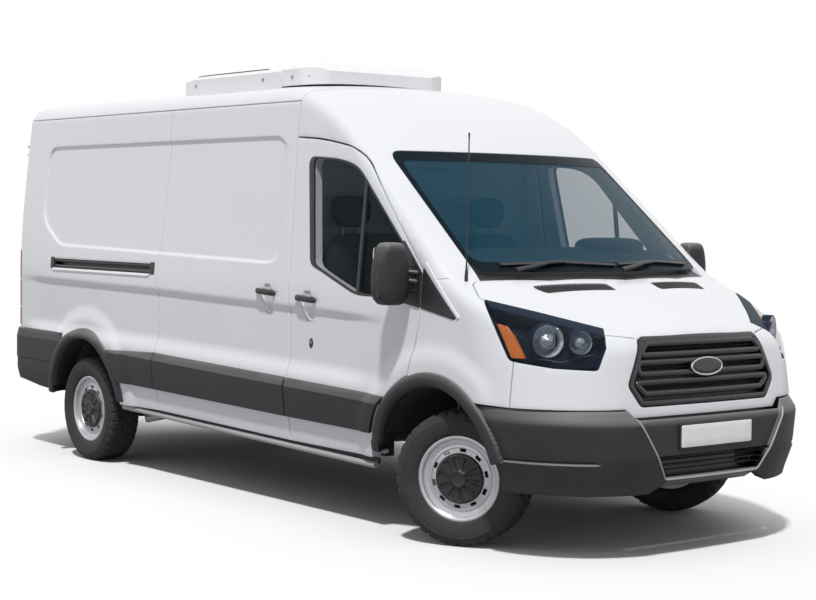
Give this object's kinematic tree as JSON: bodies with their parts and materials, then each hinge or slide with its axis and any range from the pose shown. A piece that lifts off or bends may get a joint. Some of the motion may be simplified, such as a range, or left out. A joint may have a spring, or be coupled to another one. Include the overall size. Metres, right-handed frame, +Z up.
{
  "type": "refrigerated panel van",
  "caption": "White long-wheelbase refrigerated panel van with a medium roof, a low cooling unit on the roof, opening doors and bonnet, steered front wheels and rolling wheels.",
  "frame": {"origin": "on the ground, at the middle of the van's length and width", "axes": "+X the way the van drives, +Y its left side, +Z up"},
  "size_m": [5.9807, 2.474, 2.645],
  "materials": {
    "paint_white": "gloss",
    "unit_white": "satin",
    "dark_plastic": "matt grained",
    "cab_plastic": "matt",
    "bulkhead_grey": "satin",
    "seat_fabric": "woven",
    "glass": "clear, tinted",
    "lamp_clear": "clear",
    "lamp_case": "bright",
    "lamp_red": "clear red",
    "underbody_paint": "matt",
    "cast_metal": "cast",
    "exhaust_steel": "dull",
    "tyre_rubber": "matt",
    "wheel_silver": "satin"
  },
  "bodies": {
    "body": {"arch_liners": "dark_plastic", "bulkhead": "bulkhead_grey", "cab_frame": "paint_white", "dashboard": "cab_plastic", "engine_block": "cast_metal", "exhaust": "exhaust_steel", "front_bumper": "dark_plastic", "front_fascia": "paint_white", "front_subframe": "underbody_paint", "front_wings": "paint_white", "fuel_tank": "cab_plastic", "grille": "dark_plastic", "headlamp_cases": "lamp_case", "headlamp_lenses": "lamp_clear", "rear_axle": "underbody_paint", "rear_bumper": "dark_plastic", "roof": "paint_white", "seats": "seat_fabric", "side_cladding": "dark_plastic", "side_left": "paint_white", "side_right": "paint_white", "sliding_door": "paint_white", "tail_lamps": "lamp_red", "underbody": "underbody_paint", "unit_base": "dark_plastic", "unit_cover_front": "unit_white", "unit_cover_rear": "unit_white", "windscreen": "glass"},
    "knuckle_left": {"knuckle_left": "cast_metal"},
    "wheel_front_left": {"tyre_front_left": "tyre_rubber", "rim_front_left": "wheel_silver"},
    "wheel_rear_left": {"tyre_rear_left": "tyre_rubber", "rim_rear_left": "wheel_silver"},
    "front_door_left": {"front_door_left": "paint_white", "door_glass_left": "glass", "door_moulding_left": "dark_plastic", "mirror_left": "dark_plastic"},
    "rear_door_left": {"rear_door_left": "paint_white"},
    "knuckle_right": {"knuckle_right": "cast_metal"},
    "wheel_front_right": {"tyre_front_right": "tyre_rubber", "rim_front_right": "wheel_silver"},
    "wheel_rear_right": {"tyre_rear_right": "tyre_rubber", "rim_rear_right": "wheel_silver"},
    "front_door_right": {"front_door_right": "paint_white", "door_glass_right": "glass", "door_moulding_right": "dark_plastic", "mirror_right": "dark_plastic"},
    "rear_door_right": {"rear_door_right": "paint_white"},
    "bonnet": {"bonnet": "paint_white", "bonnet_vents": "dark_plastic"},
    "steering_wheel": {"steering_wheel": "cab_plastic"}
  },
  "joints": [
    {"name": "steer_left", "type": "hinge", "parent": "body", "child": "knuckle_left", "pos_m": [1.9675, 0.76, 0.23], "axis": [0, -0.2169, 0.9762], "range_deg": [-64, 6]},
    {"name": "steer_right", "type": "hinge", "parent": "body", "child": "knuckle_right", "pos_m": [1.9675, -0.76, 0.23], "axis": [0, 0.2169, 0.9762], "range_deg": [-64, 6]},
    {"name": "steering_wheel_turn", "type": "hinge", "parent": "body", "child": "steering_wheel", "pos_m": [1.5375, 0.43, 1.2], "axis": [-0.8192, 0, 0.5736], "range_deg": [-960, 90]},
    {"name": "wheel_front_left_spin", "type": "hinge", "parent": "knuckle_left", "child": "wheel_front_left", "pos_m": [1.90413, 0.85, 0.35198], "axis": [-0.4733, 0.8805, -0.0266], "continuous": true},
    {"name": "wheel_rear_left_spin", "type": "hinge", "parent": "body", "child": "wheel_rear_left", "pos_m": [-1.7825, 0.871, 0.35], "axis": [0, 1, 0], "continuous": true},
    {"name": "front_door_left_open", "type": "hinge", "parent": "body", "child": "front_door_left", "pos_m": [1.8485, 1.03, 1], "axis": [0, 0, -1], "range_deg": [0, 70]},
    {"name": "rear_door_left_open", "type": "hinge", "parent": "body", "child": "rear_door_left", "pos_m": [-2.9205, 0.834, 1.4], "axis": [0, 0, -1], "range_deg": [0, 180]},
    {"name": "wheel_front_right_spin", "type": "hinge", "parent": "knuckle_right", "child": "wheel_front_right", "pos_m": [2.03087, -0.85, 0.35198], "axis": [-0.4733, 0.8805, 0.0266], "continuous": true},
    {"name": "wheel_rear_right_spin", "type": "hinge", "parent": "body", "child": "wheel_rear_right", "pos_m": [-1.7825, -0.871, 0.35], "axis": [0, 1, 0], "continuous": true},
    {"name": "front_door_right_open", "type": "hinge", "parent": "body", "child": "front_door_right", "pos_m": [1.8485, -1.03, 1], "axis": [0, 0, 1], "range_deg": [0, 70]},
    {"name": "rear_door_right_open", "type": "hinge", "parent": "body", "child": "rear_door_right", "pos_m": [-2.9205, -0.834, 1.4], "axis": [0, 0, 1], "range_deg": [0, 180]},
    {"name": "bonnet_open", "type": "hinge", "parent": "body", "child": "bonnet", "pos_m": [2.06, 0, 1.372], "axis": [0, -1, 0], "range_deg": [0, 55]}
  ],
  "couplings": [
    {"joint": "steer_right", "follows": "steer_left", "ratio": 1},
    {"joint": "steering_wheel_turn", "follows": "steer_left", "ratio": 15}
  ]
}
